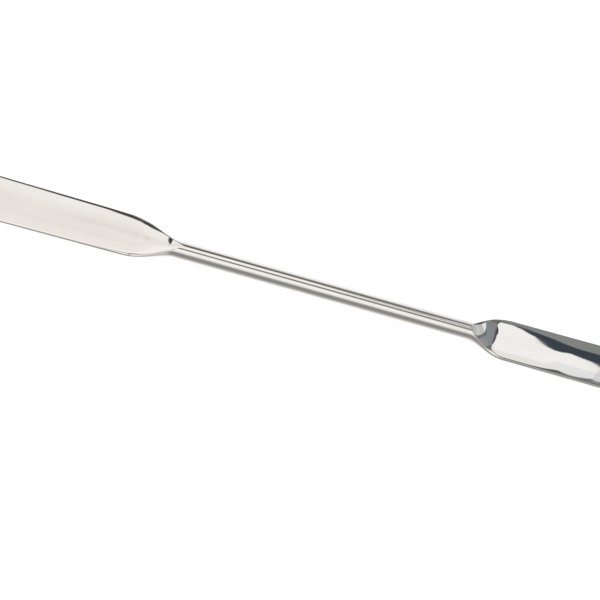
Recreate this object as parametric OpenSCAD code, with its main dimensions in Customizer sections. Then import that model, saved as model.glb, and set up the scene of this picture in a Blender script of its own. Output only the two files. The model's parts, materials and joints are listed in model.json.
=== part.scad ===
// Double-ended laboratory spatula, forged from one piece of round stainless wire.
//
// Frame: +X runs along the handle toward the blade with the short shoulder, +Z is up, and the origin
// is on the table under the middle of the object. The handle is thicker than the blades, so the
// spatula can't lie level: it rolls about its handle until the back edges of the blades touch down.

/* [Overall] */
// Length over both blade tips
total_length = 185; // [150:1:230]
// Length of the round handle, up to where its outline starts to widen
handle_length = 55.4; // [35:0.2:80]
// Diameter of the round handle
handle_d = 3.2; // [2.6:0.1:4]

/* [Blades] */
// Thickness of a blade where it leaves its neck
blade_t = 1; // [0.7:0.05:1.4]
// Thickness of a blade at its tip
tip_t = 0.6; // [0.4:0.05:0.7]
// How far the blades sit to one face of the handle's centre plane
blade_offset = 0.1; // [0:0.02:0.3]
// How far the blades sit to the back of the handle's centre line
blade_shift = 0.05; // [0:0.01:0.3]
// How far the rounding of a blade's back edge reaches in
back_round = 0.9; // [0.3:0.05:1.2]
// How far the rounding of a blade's front edge reaches in
front_round = 0.5; // [0.3:0.05:1.2]

/* [Long shoulder, the blade at -X] */
// Greatest width of the blade
long_w = 9.1; // [7:0.1:12]
// Width just past the shoulder
long_heel_w = 8.55; // [6.5:0.05:10]
// Length over which the outline widens from handle to blade
long_shoulder = 10; // [8:0.1:16]
// Length over which the two faces ramp down to the blade's thickness
long_ramp = 8.9; // [5:0.1:10]
// How far inside the handle the faces start to come down
long_early = 1.3; // [0:0.1:3]
// Share of the ramp over which the faces curve off the handle, before they curve into the blade
long_nose = 0.30; // [0.02:0.01:0.9]
// Length over which the blade flares from the shoulder to its full width
long_flare = 26; // [10:1:34]
// How early the back side widens
long_back_lead = 1.25; // [1:0.05:2]
// How early the front side widens
long_front_lead = 1.3; // [1:0.05:2]
// Where the rounded sides have turned into the blade's edges, from the end of the handle
long_edged = 15; // [11:0.5:20]

/* [Short shoulder, the blade at +X] */
// Greatest width of the blade
short_w = 8.8; // [7:0.1:12]
// Width just past the shoulder
short_heel_w = 8.2; // [6.5:0.05:10]
// Length over which the outline widens from handle to blade
short_shoulder = 7.3; // [6:0.1:16]
// Length over which the two faces ramp down to the blade's thickness
short_ramp = 5.5; // [4:0.1:10]
// How far inside the handle the faces start to come down
short_early = 0; // [0:0.1:3]
// Share of the ramp over which the faces curve off the handle, before they curve into the blade
short_nose = 0.03; // [0.02:0.01:0.9]
// Length over which the blade flares from the shoulder to its full width
short_flare = 48; // [10:1:50]
// How early the back side widens
short_back_lead = 1.4; // [1:0.05:2]
// How early the front side widens
short_front_lead = 1.2; // [1:0.05:2]
// Where the rounded sides have turned into the blade's edges, from the end of the handle
short_edged = 7; // [6:0.5:20]

/* [Hidden] */

handle_r = handle_d / 2;
blade_len = (total_length - handle_length) / 2;   // neck and blade together
// The blank laps the handle by this much, and stands this far outside it, so that they fuse cleanly.
lap = 0.3;
proud = 0.012;
// How much of the blank's height above the finished face is left on for the dies to take off.
flash = 0.05;
// The blank's sides stay as round as the handle up to this share of the ramp.
round_ramp = 0.5;
// Steps of the blank: along the shoulder, along the flare, around the tip, and over the edge.
shoulder_steps = 30;
flare_steps = 4;
tip_steps = 14;
edge_steps = 18;

// Shape of one end, as a list read by the functions below.
long_end = [long_w / 2, long_heel_w / 2, long_shoulder, long_ramp, long_early, long_nose,
            long_flare, long_back_lead, long_front_lead, long_edged];
short_end = [short_w / 2, short_heel_w / 2, short_shoulder, short_ramp, short_early, short_nose,
             short_flare, short_back_lead, short_front_lead, short_edged];
function widest(end) = end[0];
function heel(end) = end[1];
function shoulder(end) = end[2];
function ramp(end) = end[3];
function early(end) = end[4];
function nose(end) = end[5];
function flare(end) = end[6];
function lead(end, side) = side > 0 ? end[7] : end[8];
function edged(end) = end[9];
function edge_round(side) = side > 0 ? back_round : front_round;

// s is the distance from the end of the handle toward the tip. The faces ramp down from -early to
// here, and the tip is a half round of the blade's own width.
function ramp_end(end) = ramp(end) - early(end);
function tip_start(end) = blade_len - widest(end);
function flare_run(end) = min(flare(end), tip_start(end) - shoulder(end));

// An ease from 0 to 1 with level ends, and the same with an early start.
function ease(t) = let (u = min(max(t, 0), 1)) u * u * (3 - 2 * u);
function eager(t, early) = ease(1 - pow(1 - min(max(t, 0), 1), early));

// Half width of the outline up to where the tip rounds off, on the back (+1) or front (-1) side.
function half_width(end, s, side) =
    let (widened = eager(s / shoulder(end), lead(end, side)),
         flared = min(max((s - shoulder(end)) / flare_run(end), 0), 1))
    handle_r + (heel(end) - handle_r) * widened + (widest(end) - heel(end)) * flared
    + side * blade_shift * widened;

// A face comes down in two arcs, the nose and then the die, tangent to the handle's top, to each
// other and to the blade's face. Both radii together follow from the ramp and from how far it falls.
function level(face) = blade_t / 2 + face * blade_offset;
function both_radii(end, face) =
    let (fall = handle_r - level(face)) (pow(ramp(end), 2) + fall * fall) / (2 * fall);
function nose_r(end, face) = nose(end) * both_radii(end, face);
function die_r(end, face) = (1 - nose(end)) * both_radii(end, face);
// How much thinner a face has become past the ramp, on its way to the tip.
function thinned(end, s) =
    (blade_t - tip_t) / 2 * max(s - ramp_end(end), 0) / (blade_len - ramp_end(end));
// Height of the upper (+1) or depth of the lower (-1) face, from the handle's centre.
function face_level(end, s, face) =
    let (d = min(max(s + early(end), 0), ramp(end)), on_nose = d < ramp(end) * nose(end),
         r = on_nose ? nose_r(end, face) : die_r(end, face))
    (on_nose ? handle_r - r + sqrt(r * r - d * d)
     : level(face) + r - sqrt(r * r - pow(ramp(end) - d, 2)))
    - thinned(end, s);

// The blank: half its height, round at the handle and flattened toward the blade, the height of its
// middle, and how far its rounded side reaches in from the outline.
function pressed(end, s) = ease((s + early(end)) / ramp(end));
function blank_height(end, s) =
    let (h = (face_level(end, s, 1) + face_level(end, s, -1)) / 2, p = pressed(end, s))
    h + (handle_r + proud - h) * (1 - p) + flash * p;
function rise(end, s) = blade_offset * pressed(end, s);
function side_depth(end, s, side) =
    let (start = round_ramp * ramp_end(end))
    handle_r + (edge_round(side) - handle_r) * ease((s - start) / (edged(end) - start));

// The outline of one side, as [s, half width, direction the edge faces, measured from the side].
function shoulder_outline(end, side) =
    let (start = -early(end) - lap)
    [for (i = [0:shoulder_steps]) let (s = start + (shoulder(end) - start) * i / shoulder_steps)
        [s, half_width(end, s, side) + proud * (1 - pressed(end, s)), 0]];
function flare_outline(end, side) = [for (i = [1:flare_steps])
    let (s = shoulder(end) + flare_run(end) * i / flare_steps)
    if (tip_start(end) - s > lap) [s, half_width(end, s, side), 0]];
function tip_outline(end, side) = [for (i = [0:tip_steps])
    let (a = 90 * i / tip_steps)
    [tip_start(end) + widest(end) * sin(a), widest(end) * cos(a) + side * blade_shift, a]];
function outline(end, side) = concat(shoulder_outline(end, side), flare_outline(end, side),
                                     tip_outline(end, side));

// One column of points over the rounded edge, from the lower face to the upper one.
function edge_column(end, p, side) =
    let (s = p[0])
    [for (k = [0:edge_steps])
        let (t = -90 + 180 * k / edge_steps, inset = side_depth(end, s, side) * (1 - cos(t)))
        [s - inset * sin(p[2]), side * (p[1] - inset * cos(p[2])),
         rise(end, s) + blank_height(end, s) * sin(t)]];

// The columns go up the back side, around the tip and down the front side.
function columns(end) =
    let (back = outline(end, 1), front = outline(end, -1), n = len(back) - 1)
    concat([for (i = [0:n]) edge_column(end, back[i], 1)],
           [for (i = [n - 1:-1:0]) edge_column(end, front[i], -1)]);

module blank(end) {
    rows = columns(end);
    last = len(rows) - 1;
    mid = last / 2;
    m = edge_steps;
    w = m + 1;
    // Vertex k of column j.
    function v(j, k) = j * w + k;
    edge = [for (j = [0:last - 1], k = [0:m - 1]) each
        [[v(j, k), v(j, k + 1), v(j + 1, k + 1)], [v(j, k), v(j + 1, k + 1), v(j + 1, k)]]];
    upper = [for (i = [0:mid - 1]) each
        concat([[v(i, m), v(last - i, m), v(i + 1, m)]],
               i < mid - 1 ? [[v(last - i, m), v(last - i - 1, m), v(i + 1, m)]] : [])];
    lower = [for (i = [0:mid - 1]) each
        concat([[v(i, 0), v(i + 1, 0), v(last - i, 0)]],
               i < mid - 1 ? [[v(last - i, 0), v(i + 1, 0), v(last - i - 1, 0)]] : [])];
    butt = [[for (k = [0:m]) v(last, m - k), for (k = [0:m]) v(0, k)]];
    polyhedron(points = [for (row = rows) each row], faces = concat(edge, upper, lower, butt));
}

// The room between the two dies, seen from the side: everything under the upper die's profile.
module under_die(end, face) {
    start = -early(end);
    turned = start + ramp(end) * nose(end);
    turned_level = face_level(end, turned, face);
    // The room reaches this far past the blank on every side.
    room = 2 * handle_r;
    far = blade_len + room;
    difference() {
        polygon([[start - room, -room], [far, -room], [far, face_level(end, far, face)],
                 [ramp_end(end), level(face)], [ramp_end(end), room], [turned, room],
                 [turned, turned_level], [start, turned_level], [start, room], [start - room, room]]);
        translate([ramp_end(end), level(face) + die_r(end, face)])
            circle(r = die_r(end, face), $fn = 360);
    }
    intersection() {
        translate([start, handle_r - nose_r(end, face)]) circle(r = nose_r(end, face), $fn = 360);
        translate([start, turned_level]) square([turned - start, room]);
    }
}
module between_dies(end) {
    rotate([90, 0, 0]) linear_extrude(height = 4 * widest(end), center = true)
        intersection() {
            under_die(end, 1);
            mirror([0, 1]) under_die(end, -1);
        }
}

module blade(end) {
    intersection() {
        blank(end);
        between_dies(end);
    }
}

// Where a blade's back edge touches the table while the handle rests on it: the least roll found
// over the lower half of the edge, from the neck to the tip.
roll_steps = 24;
function roll_at(y, depth) = asin(handle_r / norm([y, depth])) - atan2(depth, y);
function low_edge(end, s, t) =
    let (under_blank = blank_height(end, s) * sin(t) - rise(end, s))
    roll_at(half_width(end, s, 1) - side_depth(end, s, 1) * (1 - cos(t)),
            min(under_blank, face_level(end, s, -1)));
roll = min([for (end = [long_end, short_end], i = [0:roll_steps], k = [0:roll_steps])
            low_edge(end, ramp_end(end) + (tip_start(end) - ramp_end(end)) * i / roll_steps,
                     90 * k / roll_steps)]);

module handle() {
    from = -handle_length / 2 + early(long_end) + lap / 2;
    to = handle_length / 2 - early(short_end) - lap / 2;
    translate([from, 0, 0]) rotate([0, 90, 0]) cylinder(h = to - from, r = handle_r, $fn = 96);
}

module spatula() {
    color("silver")
    translate([0, 0, handle_r]) rotate([-roll, 0, 0]) {
        handle();
        translate([handle_length / 2, 0, 0]) blade(short_end);
        mirror([1, 0, 0]) translate([handle_length / 2, 0, 0]) blade(long_end);
    }
}

spatula();
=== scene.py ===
"""The looks of a double-ended laboratory spatula: polished steel on a pale floor, in a soft studio."""

import json
import math
from dataclasses import dataclass

import bmesh
import bpy
import numpy as np
from mathutils import Matrix, Vector


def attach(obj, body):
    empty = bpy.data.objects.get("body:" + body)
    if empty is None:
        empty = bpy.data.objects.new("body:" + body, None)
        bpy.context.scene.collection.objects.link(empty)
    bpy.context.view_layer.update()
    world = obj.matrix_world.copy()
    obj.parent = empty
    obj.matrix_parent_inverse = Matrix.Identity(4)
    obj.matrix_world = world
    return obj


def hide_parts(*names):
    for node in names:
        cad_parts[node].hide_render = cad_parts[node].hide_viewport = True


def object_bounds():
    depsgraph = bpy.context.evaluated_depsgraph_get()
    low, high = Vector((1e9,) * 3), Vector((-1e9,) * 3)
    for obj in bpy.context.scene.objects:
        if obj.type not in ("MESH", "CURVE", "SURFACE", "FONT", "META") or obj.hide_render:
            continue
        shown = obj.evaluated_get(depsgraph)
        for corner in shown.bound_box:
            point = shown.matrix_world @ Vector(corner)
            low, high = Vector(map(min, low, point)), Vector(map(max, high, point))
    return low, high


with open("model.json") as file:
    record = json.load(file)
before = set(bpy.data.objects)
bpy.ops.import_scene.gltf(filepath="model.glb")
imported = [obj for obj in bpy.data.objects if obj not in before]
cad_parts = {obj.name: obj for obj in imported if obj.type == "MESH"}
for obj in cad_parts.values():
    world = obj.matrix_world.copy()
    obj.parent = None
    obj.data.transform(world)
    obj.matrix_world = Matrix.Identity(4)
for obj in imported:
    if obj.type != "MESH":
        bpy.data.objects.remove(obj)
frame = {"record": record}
cad_box = [list(corner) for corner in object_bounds()]

MM = 0.001
MOUNTS = {mount["name"]: mount for mount in frame["record"]["mounts"]}

# Sizes in millimetres. The handle's radius, the overall length and the roll at rest come from the frame.
HANDLE_R = MOUNTS["handle_grip"]["dims"]["r_mm"]
TOTAL_LENGTH = (cad_box[1][0] - cad_box[0][0]) / MM
FACE_AXIS = MOUNTS["short_blade_face"]["axis"]
ROLL = math.atan2(FACE_AXIS[1], FACE_AXIS[2])
HANDLE_LENGTH = 55.4
BLADE_LENGTH = (TOTAL_LENGTH - HANDLE_LENGTH) / 2
BLADE_T = 1.0  # thickness where a blade leaves its neck
TIP_T = 0.6  # thickness at the tip
BLADE_OFFSET = 0.1  # how far the blades sit over the handle's axis
BLADE_SHIFT = 0.05  # how far they sit behind it
BACK_ROUND = 0.9  # how far the rounding of the back edge reaches in
FRONT_ROUND = 0.5  # the same of the front edge
ROUND_RAMP = 0.5  # share of the ramp up to which the sides stay as round as the handle
FLASH = 0.05  # how far the blank stands over the finished face, for the dies to take off
BLADE_CROWN = 90.0  # radius of the faces' crown on the blades


@dataclass
class End:
    """One neck and blade. s runs from the end of the handle toward the tip, in millimetres."""

    way: int  # +1 toward +X, -1 toward -X
    widest: float  # half of the blade's greatest width
    heel: float  # half of its width just past the shoulder
    shoulder: float  # length over which the outline widens
    ramp: float  # length over which the faces come down
    early: float  # how far inside the handle the faces start to come down
    nose: float  # share of the ramp over which the faces curve off the handle
    flare: float  # length over which the blade flares to its full width
    back_lead: float  # how early the back side widens, where 1 is evenly
    front_lead: float  # how early the front side widens
    edged: float  # where the rounded sides have turned into the blade's edges
    crease: float  # how softly the faces turn into the sides
    neck_crown: float  # radius of the faces' crown where the ramp starts

    def ramp_end(self):
        return self.ramp - self.early

    def tip_start(self):
        return BLADE_LENGTH - self.widest


LONG_END = End(
    way=-1, widest=4.55, heel=4.275, shoulder=10.0, ramp=8.9, early=1.3, nose=0.30, flare=26.0,
    back_lead=1.25, front_lead=1.3, edged=15.0, crease=0.12, neck_crown=9.0,
)
SHORT_END = End(
    way=1, widest=4.4, heel=4.1, shoulder=7.3, ramp=5.5, early=0.0, nose=0.03, flare=48.0,
    back_lead=1.4, front_lead=1.2, edged=7.0, crease=0.08, neck_crown=7.5,
)


# ---------------------------------------------------------------- shape of the steel


def ease(t):
    """From 0 to 1 with level ends."""
    u = np.clip(t, 0, 1)
    return u * u * (3 - 2 * u)


def eager(t, early):
    """The same with an early start: no earlier where early is 1, and sooner over it."""
    return ease(1 - (1 - np.clip(t, 0, 1)) ** early)


def soft_min(a, b, reach):
    """The lower of a and b, with the corner between them rounded over that reach."""
    h = np.maximum(reach - np.abs(a - b), 0) / reach
    return np.minimum(a, b) - h**3 * reach / 6


def half_width(end, s, side):
    """Half width of the outline up to where the tip rounds off, on the back (+1) or front (-1) side."""
    lead = end.back_lead if side > 0 else end.front_lead
    widened = eager(s / end.shoulder, lead)
    flared = np.clip((s - end.shoulder) / end.flare, 0, 1)
    straight = HANDLE_R + (end.heel - HANDLE_R) * widened + (end.widest - end.heel) * flared
    return straight + side * BLADE_SHIFT * widened


def face_level(end, s, face):
    """Height of the upper (+1) or depth of the lower (-1) face under the die, from the handle's axis."""
    level = BLADE_T / 2 + face * BLADE_OFFSET
    fall = HANDLE_R - level
    both_radii = (end.ramp**2 + fall**2) / (2 * fall)
    nose_r = end.nose * both_radii
    die_r = both_radii - nose_r
    d = np.clip(s + end.early, 0, end.ramp)
    over_nose = HANDLE_R - nose_r + np.sqrt(np.clip(nose_r**2 - d**2, 0, None))
    under_die = level + die_r - np.sqrt(die_r**2 - (end.ramp - d) ** 2)
    ramped = np.where(d < end.ramp * end.nose, over_nose, under_die)
    past = np.clip(s - end.ramp_end(), 0, None)
    return ramped - (BLADE_T - TIP_T) / 2 * past / (BLADE_LENGTH - end.ramp_end())


def pressed(end, s):
    """How far the steel has turned from handle, 0, into blade, 1."""
    return ease((s + end.early) / end.ramp)


def blank_height(end, s):
    """Half the height of the blank, round at the handle and flattened toward the blade."""
    h = (face_level(end, s, 1) + face_level(end, s, -1)) / 2
    return h + (HANDLE_R - h) * (1 - pressed(end, s)) + FLASH * pressed(end, s)


def rise(end, s):
    """Height of the blank's middle."""
    return BLADE_OFFSET * pressed(end, s)


def side_depth(end, s, side):
    """How far the rounded side reaches in: the handle's radius at first, then less along the shoulder."""
    edge_round = BACK_ROUND if side > 0 else FRONT_ROUND
    start = ROUND_RAMP * end.ramp_end()
    return HANDLE_R + (edge_round - HANDLE_R) * ease((s - start) / (end.edged - start))


def crown(end, s, y):
    """How far the face falls away from its middle line: more where the ramp starts than on the blade."""
    curve = 1 / end.neck_crown + (1 / BLADE_CROWN - 1 / end.neck_crown) * pressed(end, s)
    return y * y * curve / 2


# How many rings each stretch has, and how many steps a dense half ring has up each side and across.
NECK_RINGS = 130
BLADE_RINGS = 90
TIP_RINGS = 44
HANDLE_RINGS = 48
COLUMN_STEPS = 160
ACROSS_STEPS = 60
RING_HALF = 72  # faces over the upper half of a ring, and as many under it
RING = 2 * RING_HALF

SHARP = 0.004  # how softly a face turns into the sides where its ramp starts
SOFTENING = 3  # the crease is fully soft after one part in this many of the ramp
TURN_PER_MM = 0.35  # a millimetre of length gets as many points as a turn by this many radians
LEAST_STEP = 1e-9  # keeps the measure rising where a ring neither runs nor turns
SAME_PLACE = 0.001  # points nearer than this are one


def end_outline(end):
    """The outline's stations: s, half width at the back and front, and the direction that the edge faces."""
    neck = np.linspace(-end.early, end.shoulder, NECK_RINGS)
    blade = np.linspace(end.shoulder, end.tip_start(), BLADE_RINGS)[1:]
    s = np.concatenate([neck, blade])
    a = np.radians(np.linspace(0, 90, TIP_RINGS)[1:])
    s_tip = end.tip_start() + end.widest * np.sin(a)
    back_tip = end.widest * np.cos(a) + BLADE_SHIFT
    front_tip = end.widest * np.cos(a) - BLADE_SHIFT
    return (
        np.concatenate([s, s_tip]),
        np.concatenate([half_width(end, s, 1), back_tip]),
        np.concatenate([half_width(end, s, -1), front_tip]),
        np.concatenate([0 * s, a]),
    )


def column(end, s, width, direction, side):
    """Points of the blank from the middle of its rounded edge up to its top, for all stations."""
    t = np.radians(np.linspace(0, 90, COLUMN_STEPS))[None, :]
    s, width, direction = s[:, None], width[:, None], direction[:, None]
    inset = side_depth(end, s, side) * (1 - np.cos(t))
    x = s - inset * np.sin(direction)
    y = side * (width - inset * np.cos(direction))
    return x, y, blank_height(end, s) * np.sin(t)


def press(end, x, y, blank, middle, face):
    """The blank's upper (+1) or lower (-1) side after the die has come down on it."""
    die = face_level(end, x, face) - crown(end, x, y)
    reach = SHARP + end.crease * ease(SOFTENING * (x + end.early) / end.ramp)
    return face * soft_min(blank + face * middle, die, reach)


def join_sides(back, front):
    """Up the back side, straight across, and down the front side, for all stations."""
    across = np.linspace(0, 1, ACROSS_STEPS)[None, 1:-1]
    top, far_top = back[:, -1:], front[:, -1:]
    return np.concatenate([back, top + (far_top - top) * across, front[:, ::-1]], axis=1)


def half_rings(end, outline, face):
    """One half of every ring, from the back edge over the face to the front edge."""
    s, back, front, direction = outline
    back_side = column(end, s, back, direction, 1)
    front_side = column(end, s, front, direction, -1)
    x, y, blank = [join_sides(*sides) for sides in zip(back_side, front_side)]
    z = press(end, x, y, blank, rise(end, s)[:, None], face)
    return [resample(*ring) for ring in zip(x, y, z)]


def resample(x, y, z):
    """RING_HALF + 1 points along one dense half ring, spaced by how far it runs and how much it turns."""
    run = np.hypot(np.diff(x), np.diff(y))
    length = np.hypot(run, np.diff(z))
    slope = np.unwrap(np.arctan2(np.diff(z), run))
    turn = np.abs(np.diff(slope))
    turn = (np.append(turn, 0) + np.insert(turn, 0, 0)) / 2
    measure = np.concatenate([[0], np.cumsum(turn + TURN_PER_MM * length + LEAST_STEP)])
    at = np.linspace(0, measure[-1], RING_HALF + 1)
    return np.stack([np.interp(at, measure, v) for v in (x, y, z)], axis=1)


def end_rings(end):
    """Whole rings along one end, from where its ramp starts to its tip."""
    outline = end_outline(end)
    upper = half_rings(end, outline, 1)
    lower = half_rings(end, outline, -1)
    rings = []
    for over, under in zip(upper, lower):
        ring = np.concatenate([over, under[-2:0:-1]])
        ring[:, 0] = end.way * (HANDLE_LENGTH / 2 + ring[:, 0])
        rings.append(ring)
    return rings


def handle_rings(first, last):
    """Rings along the straight handle, between the first ring of each end."""
    shares = np.linspace(0, 1, HANDLE_RINGS)[1:-1]
    return [first + (last - first) * share for share in shares]


# The faces were ground and polished by hand, which leaves long shallow waves in them.
WAVES = (
    # depth, waves per mm along, waves per mm across, phase
    (0.004, 0.05, 0.03, 0.4),
    (0.0015, 0.11, -0.05, 2.1),
)
WAVES_FROM = 3  # how far past the handle's end the waves set in
WAVES_OVER = 6  # length over which they grow to their full depth


def hand_polish(points):
    """Bends the blades by what hand polishing leaves. The handle stays straight."""
    x, y, z = points.T
    s = np.abs(x) - HANDLE_LENGTH / 2
    wave = sum(d * np.sin(2 * math.pi * (u * x + v * y) + p) for d, u, v, p in WAVES)
    return np.stack([x, y, z + ease((s - WAVES_FROM) / WAVES_OVER) * wave], axis=1)


def roll_and_place(points):
    """Turns the spatula about its handle to how it lies, on the floor, and to metres."""
    x, y, z = points.T
    across = y * math.cos(ROLL) + z * math.sin(ROLL)
    up = z * math.cos(ROLL) - y * math.sin(ROLL) + HANDLE_R
    return np.stack([x, across, up], axis=1) * MM


def skin(rings):
    """A mesh over all rings, from tip to tip."""
    points = roll_and_place(hand_polish(np.concatenate(rings)))
    faces = []
    for r in range(len(rings) - 1):
        for k in range(RING):
            a, b = r * RING + k, r * RING + (k + 1) % RING
            faces.append((a, b, b + RING, a + RING))
    mesh = bpy.data.meshes.new("polished_spatula")
    mesh.from_pydata(points.tolist(), [], faces)
    close_tips(mesh)
    mesh.polygons.foreach_set("use_smooth", [True] * len(mesh.polygons))
    return mesh


def close_tips(mesh):
    """The last ring at each tip has folded flat onto itself: its two sides are joined into one line."""
    work = bmesh.new()
    work.from_mesh(mesh)
    work.verts.ensure_lookup_table()
    ends = list(work.verts[:RING]) + list(work.verts[-RING:])
    bmesh.ops.remove_doubles(work, verts=ends, dist=SAME_PLACE * MM)
    bmesh.ops.recalc_face_normals(work, faces=work.faces[:])
    work.to_mesh(mesh)
    work.free()


def make_spatula(material):
    left = end_rings(LONG_END)[::-1]
    right = end_rings(SHORT_END)
    mesh = skin(left + handle_rings(left[-1], right[0]) + right)
    mesh.materials.append(material)
    piece = bpy.data.objects.new("polished_spatula", mesh)
    bpy.context.scene.collection.objects.link(piece)
    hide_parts("spatula")
    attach(piece, "root")


# ---------------------------------------------------------------- shading helpers


def feed(tree, socket, value):
    """Gives a socket its value, which is a Field or a constant."""
    if isinstance(value, Field):
        tree.links.new(value.socket, socket)
    else:
        socket.default_value = value


class Field:
    """A value that nodes work out at each point or in each direction. It is combined as plain numbers are."""

    def __init__(self, tree, socket):
        self.tree = tree
        self.socket = socket

    def maths(self, operation, other):
        node = self.tree.nodes.new("ShaderNodeMath")
        node.operation = operation
        feed(self.tree, node.inputs[0], self)
        feed(self.tree, node.inputs[1], other)
        return Field(self.tree, node.outputs[0])

    def __add__(self, other):
        return self.maths("ADD", other)

    def __sub__(self, other):
        return self.maths("SUBTRACT", other)

    def __mul__(self, other):
        return self.maths("MULTIPLY", other)

    def size(self):
        """This without its sign."""
        return self.maths("ABSOLUTE", 0.0)

    def slide(self, start, end, low=0.0, high=1.0):
        """Goes smoothly from low to high while this goes from start to end."""
        node = self.tree.nodes.new("ShaderNodeMapRange")
        node.interpolation_type = "SMOOTHSTEP"
        for name, setting in (("From Min", start), ("From Max", end), ("To Min", low), ("To Max", high)):
            node.inputs[name].default_value = setting
        feed(self.tree, node.inputs["Value"], self)
        return Field(self.tree, node.outputs["Result"])

    def over(self, edge, soft):
        """1 where this is over the edge and 0 where it is under, softened by so much either way."""
        return (self - edge).slide(-soft, soft)

    def under(self, edge, soft):
        """0 where this is over the edge and 1 where it is under."""
        return (self - edge).slide(-soft, soft, 1.0, 0.0)

    def between(self, start, end, soft, end_soft=None):
        """1 from start to end and 0 elsewhere. The two edges are equally soft unless end_soft is given."""
        return self.over(start, soft) * self.under(end, end_soft or soft)

    def colours(self, stops):
        """Runs straight between stops, each a value of this and the colour there. Level past the ends."""
        start, end = stops[0][0], stops[-1][0]
        node = self.tree.nodes.new("ShaderNodeValToRGB")
        feed(self.tree, node.inputs[0], (self - start) * (1 / (end - start)))
        elements = node.color_ramp.elements
        while len(elements) < len(stops):
            elements.new(1.0)
        for element, (value, colour) in zip(elements, stops):
            element.position = (value - start) / (end - start)
            element.color = colour
        return Field(self.tree, node.outputs[0])

    def curve(self, points):
        """Runs straight between points, each a value of this and the result there. Level past the ends."""
        low = min(result for _, result in points)
        high = max(result for _, result in points)
        greys = [(result - low) / (high - low) for _, result in points]
        stops = [(value, (grey, grey, grey, 1.0)) for (value, _), grey in zip(points, greys)]
        return self.colours(stops) * (high - low) + low


MIX_SHARE, MIX_A, MIX_B, MIX_RESULT = 0, 6, 7, 2  # the sockets of a Mix node that mixes colours


def mix(share, a, b):
    """Colour a where the share is 0, and b where it is 1."""
    node = share.tree.nodes.new("ShaderNodeMix")
    node.data_type = "RGBA"
    feed(share.tree, node.inputs[MIX_SHARE], share)
    feed(share.tree, node.inputs[MIX_A], a)
    feed(share.tree, node.inputs[MIX_B], b)
    return Field(share.tree, node.outputs[MIX_RESULT])


def linear(value):
    """A display value from 0 to 255 as scene light, by the sRGB curve."""
    v = value / 255
    return v / 12.92 if v <= 0.04045 else ((v + 0.055) / 1.055) ** 2.4


STEEL_BASE = (0.83, 0.82, 0.80)


def seen(r, g, b):
    """The light that shows as this display colour when the steel reflects it."""
    return tuple(linear(c) / base for c, base in zip((r, g, b), STEEL_BASE)) + (1.0,)


# ---------------------------------------------------------------- material

# Sizes in millimetres.
DRAWING_DEPTH = 0.0007  # of the lines along the handle, from drawing the wire
BUFFING_DEPTH = 0.00012  # of the faint lines along the blades, from the polishing belt
FINISH_FROM = -1  # how far past the handle's end its finish starts to give way to the blades'
FINISH_TO = 3  # and where it is gone

NOISE_RANGE = (0.25, 0.75)  # where nearly all of a Noise node's values lie
DULLED = 0.965  # what the haziest spots keep of the steel's colour
ROUGHNESS = 0.013  # of the clearest spots on the blades
HAZE_ROUGHNESS = 0.012  # what the haze adds
HANDLE_ROUGHNESS = 0.045  # what the handle's finish adds
LINE_ROUGHNESS = 0.02  # what the drawing lines add


def grain(tree, place, stretch, detail):
    """Noise over the steel, from about 0 to 1, with this many grains to a millimetre along each axis."""
    scale = tree.nodes.new("ShaderNodeVectorMath")
    scale.operation = "MULTIPLY"
    scale.inputs[1].default_value = [count / MM for count in stretch]
    tree.links.new(place, scale.inputs[0])
    noise = tree.nodes.new("ShaderNodeTexNoise")
    noise.inputs["Scale"].default_value = 1.0
    noise.inputs["Detail"].default_value = detail
    tree.links.new(scale.outputs[0], noise.inputs["Vector"])
    return Field(tree, noise.outputs["Fac"]).slide(*NOISE_RANGE)


def bump(height, depth, base=None):
    """A normal dented by that height, where 1 stands this many millimetres over 0."""
    node = height.tree.nodes.new("ShaderNodeBump")
    node.inputs["Strength"].default_value = 1.0
    node.inputs["Distance"].default_value = depth * MM
    feed(height.tree, node.inputs["Height"], height)
    if base:
        feed(height.tree, node.inputs["Normal"], base)
    return Field(height.tree, node.outputs[0])


def steel_material():
    material = bpy.data.materials.new("polished_steel")
    material.use_nodes = True
    tree = material.node_tree
    tree.nodes.clear()
    place = tree.nodes.new("ShaderNodeTexCoord").outputs["Object"]
    parts = tree.nodes.new("ShaderNodeSeparateXYZ")
    tree.links.new(place, parts.inputs[0])
    from_middle = Field(tree, parts.outputs[0]).size()
    finish_from = (HANDLE_LENGTH / 2 + FINISH_FROM) * MM
    finish_to = (HANDLE_LENGTH / 2 + FINISH_TO) * MM
    on_handle = from_middle.slide(finish_from, finish_to, 1.0, 0.0)

    drawn = grain(tree, place, (0.03, 4.5, 4.5), detail=3.0) * on_handle
    buffed = grain(tree, place, (0.15, 1.8, 1.8), detail=3.0) * (on_handle * -1 + 1)
    haze = grain(tree, place, (0.12, 0.4, 0.4), detail=4.0)
    normal = bump(drawn, DRAWING_DEPTH)
    normal = bump(buffed, BUFFING_DEPTH, normal)

    shader = tree.nodes.new("ShaderNodeBsdfPrincipled")
    shader.inputs["Metallic"].default_value = 1.0
    pale = STEEL_BASE + (1.0,)
    dull = tuple(c * DULLED for c in STEEL_BASE) + (1.0,)
    feed(tree, shader.inputs["Base Color"], mix(haze, pale, dull))
    handle_roughness = on_handle * HANDLE_ROUGHNESS + drawn * LINE_ROUGHNESS
    feed(tree, shader.inputs["Roughness"], haze * HAZE_ROUGHNESS + handle_roughness + ROUGHNESS)
    feed(tree, shader.inputs["Normal"], normal)
    output = tree.nodes.new("ShaderNodeOutputMaterial")
    tree.links.new(shader.outputs[0], output.inputs["Surface"])
    return material


# ---------------------------------------------------------------- studio

# The studio is laid out by two measures of direction. "along" is how far it points toward +X, from -1 to 1.
# "turn" is its angle about the handle in degrees: 0 in front, level with the blades' faces, 90 square off
# them, and 180 behind.

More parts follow.
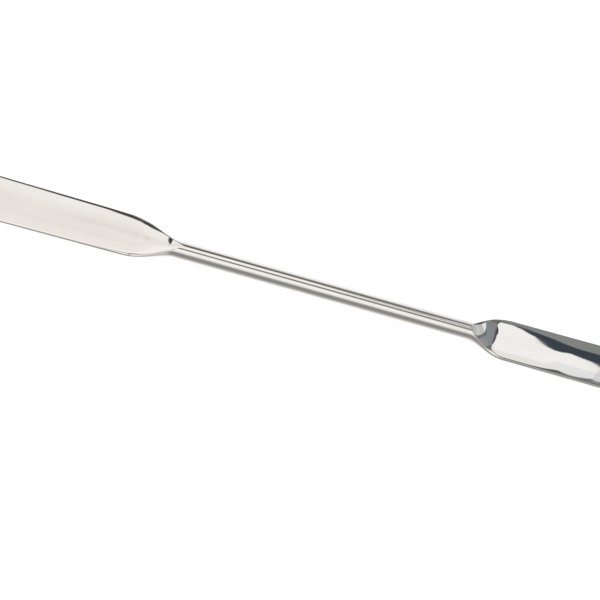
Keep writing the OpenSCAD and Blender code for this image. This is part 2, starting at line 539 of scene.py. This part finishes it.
# What is all around, by its turn, as the colour that it shows in the steel: white, and dimmer low in front.
# It goes around once, so the last turn is 360 past the first.
AROUND = (
    (-107, (241, 240, 237)),
    (-82, (221, 218, 213)),
    (-59, (190, 186, 180)),
    (-40, (160, 156, 150)),
    (-25, (139, 135, 129)),
    (-8, (131, 130, 125)),
    (4, (140, 140, 135)),
    (14, (160, 160, 155)),
    (22, (198, 197, 192)),
    (32, (236, 233, 228)),
    (45, (244, 240, 234)),
    (109, (244, 240, 234)),
    (112.5, (235, 230, 223)),
    (118.5, (231, 226, 219)),
    (121, (240, 236, 231)),
    (253, (244, 244, 243)),
)
AROUND_START = AROUND[0][0]
WHITE = (1.0, 1.0, 1.0, 1.0)  # what the camera sees past the floor
FILL = (1.75, 1.75, 1.75, 1.0)  # the light from all around, for all but reflections

# The edges of what stands in the studio. Each point is an along and a turn.
FLAG_EDGE = (
    (-0.20, 131.6), (-0.15, 129.8), (-0.10, 127.6), (-0.06, 125.6), (-0.02, 123.8), (-0.012, 123.5),
    (-0.004, 123.2), (0.004, 122.9), (0.0095, 122.3), (0.02, 122.1), (0.034, 122.2), (0.055, 119.4),
    (0.11, 116.2), (0.131, 116.0), (0.141, 123.0),
)
FRAME_TOP = (
    (0.130, 123.2), (0.145, 123.0), (0.155, 122.7), (0.163, 122.3), (0.171, 121.9), (0.178, 121.5),
    (0.184, 121.2), (0.190, 120.8), (0.196, 120.5), (0.203, 120.3), (0.206, 121.0), (0.220, 120.7),
    (0.233, 119.8), (0.243, 118.7), (0.253, 116.8),
)
FRAME_BOTTOM = (
    (0.130, 109.9), (0.166, 111.0), (0.195, 112.4), (0.218, 113.6), (0.235, 114.9), (0.246, 116.0),
    (0.253, 116.8),
)
LIGHT_TOP = (
    (0.150, 121.6), (0.166, 121.8), (0.168, 121.5), (0.171, 121.2), (0.174, 120.8), (0.1778, 120.2),
    (0.1786, 119.5), (0.1795, 118.8), (0.181, 118.4), (0.185, 118.1), (0.190, 118.1), (0.196, 118.4),
    (0.1985, 118.1), (0.2006, 117.6), (0.204, 116.7),
)
LIGHT_BOTTOM = (
    (0.140, 111.4), (0.162, 111.6), (0.174, 111.4), (0.178, 112.1), (0.1824, 112.4), (0.187, 112.7),
    (0.1906, 112.85), (0.195, 112.5), (0.1988, 112.9), (0.2047, 113.45),
)


def surroundings(turn):
    return turn.colours([(angle, seen(*colour)) for angle, colour in AROUND])


def faint_bands(along, turn, colour):
    """What the long blade's face shows faintly: two dim bands along it, and a dim spot by the neck."""
    face = along.between(-0.06, 0.03, 0.03, 0.008)
    band = face * along.over(-0.005, 0.01) * turn.between(117.2, 118.2, 0.4, 0.5)
    low_band = face * turn.between(114.6, 115.2, 0.3, 0.4)
    spot = along.between(-0.125, -0.07, 0.03) * turn.between(116.6, 118.6, 0.8, 0.9)
    return mix(band * 0.35 + low_band * 0.2 + spot * 0.7, colour, seen(214, 207, 201))


def end_panels(along, turn, colour):
    """Grey panels past both ends. The blades' faces shade along their length when they are seen slantwise."""
    share = along.size().curve(((0.48, 0), (0.72, 1), (0.88, 0.35), (1.0, 0.1)))
    return mix(share * turn.between(-35, 215, 20, 15), colour, seen(96, 99, 101))


def near_card(along, turn, colour):
    """A pale card low in front, toward +X. The side of the long shoulder shows it."""
    share = along.slide(0.28, 0.50) * turn.between(-45, 32, 20, 8)
    return mix(share, colour, seen(196, 193, 188))


def light_gap(along, turn, colour):
    """The gap between the lights in front and overhead, a brown line on the handle."""
    gap_top = along.slide(0.04, 0.15, 86.5, 91)
    share = along.slide(0.0, 0.035) * turn.between(68.5, gap_top, 4, 5)
    return mix(share, colour, mix(along.slide(0.03, 0.13), seen(104, 99, 93), seen(132, 127, 121)))


def back_flag(along, turn, colour):
    """The black flag behind. Its lower edge climbs toward -X and bends up at the other end."""
    share = turn.between(along.curve(FLAG_EDGE), 154, 0.4, 14)
    paler = along.slide(0.01, 0.09) + along.under(-0.014, 0.005) * 0.35
    return mix(share, colour, mix(paler, seen(66, 63, 59), seen(112, 110, 106)))


def stand(along, turn, colour):
    """A dark stand far toward -X, leaning."""
    edge = turn.curve(((118, -0.342), (124, -0.304), (131, -0.276)))
    share = (edge - along).slide(-0.005, 0.012) * turn.between(117, 140, 1.5, 8)
    return mix(share, colour, seen(64, 67, 68))


def grey_room(along, turn, colour):
    """The room past the studio toward +X, and its dark ceiling."""
    corner = along.between(0.105, 0.156, 0.008, 0.003) * turn.between(102, 111.3, 1.5, 0.5)
    colour = mix(corner, colour, seen(128, 126, 123))
    walls = mix(along.slide(0.22, 0.36), seen(130, 131, 128), seen(133, 136, 141))
    walls = mix(turn.slide(104, 113), seen(144, 145, 147), walls)
    walls = mix(turn.slide(128, 230), walls, seen(190, 193, 196))
    lower_edge = along.slide(0.2, 0.214, 84, 70)
    colour = mix(along.over(0.152, 0.004) * turn.over(lower_edge, 6), colour, walls)
    ceiling = along.over(0.2, 0.02) * turn.between(140, 186, 2, 10)
    return mix(ceiling, colour, seen(76, 82, 84))


def softbox_foot(along, turn, colour):
    """What stands under the softbox, darkest right below it."""
    foot = along.between(0.156, 0.212, 0.003, 0.006) * turn.between(34, 112, 6, 0.5)
    shade = mix(turn.slide(96, 106), seen(133, 134, 132), seen(106, 108, 107))
    return mix(foot, colour, mix(turn.slide(66, 86), seen(176, 174, 170), shade))


def softbox_frame(along, turn, colour):
    """The softbox's dark frame, widest on top, with a bright strip low down past the light's +X end."""
    rim = turn.between(along.curve(FRAME_BOTTOM), along.curve(FRAME_TOP), 0.15)
    frame_share = along.between(0.131, 0.252, 0.004, 0.002) * rim
    top = mix(along.slide(0.170, 0.178), seen(84, 88, 92), seen(55, 63, 71))
    side = mix(turn.over(118, 0.5), seen(213, 212, 212), seen(84, 86, 93))
    side = mix(along.slide(0.2075, 0.214), side, seen(84, 77, 85))
    return mix(frame_share, colour, mix(along.over(0.204, 0.0008), top, side))


def softbox_light(along, turn, colour):
    """The softbox's light, which the short blade's face and the end of its neck show."""
    light = along.between(0.136, 0.204, 0.004, 0.0008)
    light = light * turn.between(along.curve(LIGHT_BOTTOM), along.curve(LIGHT_TOP), 0.2, 0.15)
    white = mix(along.slide(0.18, 0.19), seen(231, 228, 223), seen(226, 226, 226))
    upper = turn.over(along.slide(0.181, 0.190, 113.8, 115.3), 0.25)
    return mix(light, colour, mix(upper, white, seen(241, 238, 235)))


def window(along, turn, colour):
    """The slanting window in the room, and the shade under its sill."""
    sill = along.slide(0.30, 0.60, 136.5, 108.5)
    shade = along.between(0.41, 0.56, 0.02) * turn.between(sill - 10, sill, 4, 1.2)
    colour = mix(shade, colour, seen(104, 115, 121))
    panes = along.between(0.33, 0.685, 0.02) * turn.between(sill, 138.5, 1.0, 1.5)
    bar = along.between(0.46, 0.555, 0.01, 0.012)
    sky = mix(along.slide(0.42, 0.68), seen(232, 234, 230), seen(178, 180, 176))
    return mix(panes, colour, mix(bar, sky, seen(186, 189, 181)))


# Each of these covers what comes before it.
LAYERS = (
    faint_bands,
    end_panels,
    near_card,
    light_gap,
    back_flag,
    stand,
    grey_room,
    softbox_foot,
    softbox_frame,
    softbox_light,
    window,
)


def studio_world():
    world = bpy.data.worlds.new("studio")
    bpy.context.scene.world = world
    world.use_nodes = True
    tree = world.node_tree
    tree.nodes.clear()
    direction = tree.nodes.new("ShaderNodeTexCoord").outputs["Generated"]
    parts = tree.nodes.new("ShaderNodeSeparateXYZ")
    tree.links.new(direction, parts.inputs[0])
    along, behind, up = [Field(tree, socket) for socket in parts.outputs]
    turn = up.maths("ARCTAN2", behind * -1) * math.degrees(1) - math.degrees(ROLL)
    turn = turn + turn.maths("LESS_THAN", AROUND_START) * 360
    colour = surroundings(turn)
    for layer in LAYERS:
        colour = layer(along, turn, colour)
    paths = tree.nodes.new("ShaderNodeLightPath")
    shade = mix(Field(tree, paths.outputs["Is Glossy Ray"]), FILL, colour)
    shade = mix(Field(tree, paths.outputs["Is Camera Ray"]), shade, WHITE)
    background = tree.nodes.new("ShaderNodeBackground")
    feed(tree, background.inputs["Color"], shade)
    output = tree.nodes.new("ShaderNodeOutputWorld")
    tree.links.new(background.outputs[0], output.inputs["Surface"])


FLOOR_HALF = 8.0  # half of its width, in metres
FLOOR_GAP = 0.02  # how far it stays under the steel, in millimetres
FLOOR_COLOUR = (0.98, 0.98, 0.98, 1.0)
FLOOR_ROUGHNESS = 0.9


def make_floor():
    near, far = -FLOOR_HALF, FLOOR_HALF
    mesh = bpy.data.meshes.new("floor")
    mesh.from_pydata([(near, near, 0), (far, near, 0), (far, far, 0), (near, far, 0)], [], [(0, 1, 2, 3)])
    floor = bpy.data.objects.new("floor", mesh)
    floor.location.z = cad_box[0][2] - FLOOR_GAP * MM
    bpy.context.scene.collection.objects.link(floor)
    material = bpy.data.materials.new("pale_floor")
    material.use_nodes = True
    shader = material.node_tree.nodes["Principled BSDF"]
    shader.inputs["Base Color"].default_value = FLOOR_COLOUR
    shader.inputs["Roughness"].default_value = FLOOR_ROUGHNESS
    shader.inputs["Specular IOR Level"].default_value = 0.0
    mesh.materials.append(material)
    floor.visible_glossy = False


# ---------------------------------------------------------------- camera

# How the camera looks at the blades' faces: tilted about the handle, swung along it and turned, in degrees.
CAMERA_TILT = 27.0
CAMERA_SWING = 5.0
CAMERA_TURN = 15.604
# What it looks at, from how far, and the nearest and farthest that it sees, in metres.
CAMERA_TARGET = (-0.003658, -0.002974, 0.0016)
CAMERA_DISTANCE = 0.49925
CAMERA_CLIP = (0.01, 50.0)
# Its focal length and the width of its sensor, in millimetres.
CAMERA_LENS = 164.98
CAMERA_SENSOR = 36.0


def make_camera():
    data = bpy.data.cameras.new("camera")
    data.lens = CAMERA_LENS
    data.sensor_width = CAMERA_SENSOR
    data.clip_start, data.clip_end = CAMERA_CLIP
    camera = bpy.data.objects.new("camera", data)
    bpy.context.scene.collection.objects.link(camera)
    facing = (
        Matrix.Rotation(math.radians(CAMERA_TILT) - ROLL, 4, "X")
        @ Matrix.Rotation(math.radians(-CAMERA_SWING), 4, "Y")
        @ Matrix.Rotation(math.radians(CAMERA_TURN), 4, "Z")
    )
    away = facing @ Vector((0, 0, CAMERA_DISTANCE))
    camera.matrix_world = Matrix.Translation(Vector(CAMERA_TARGET) + away) @ facing
    bpy.context.scene.camera = camera


make_camera()
studio_world()
make_floor()
make_spatula(steel_material())
bpy.context.scene.view_settings.view_transform = "Standard"
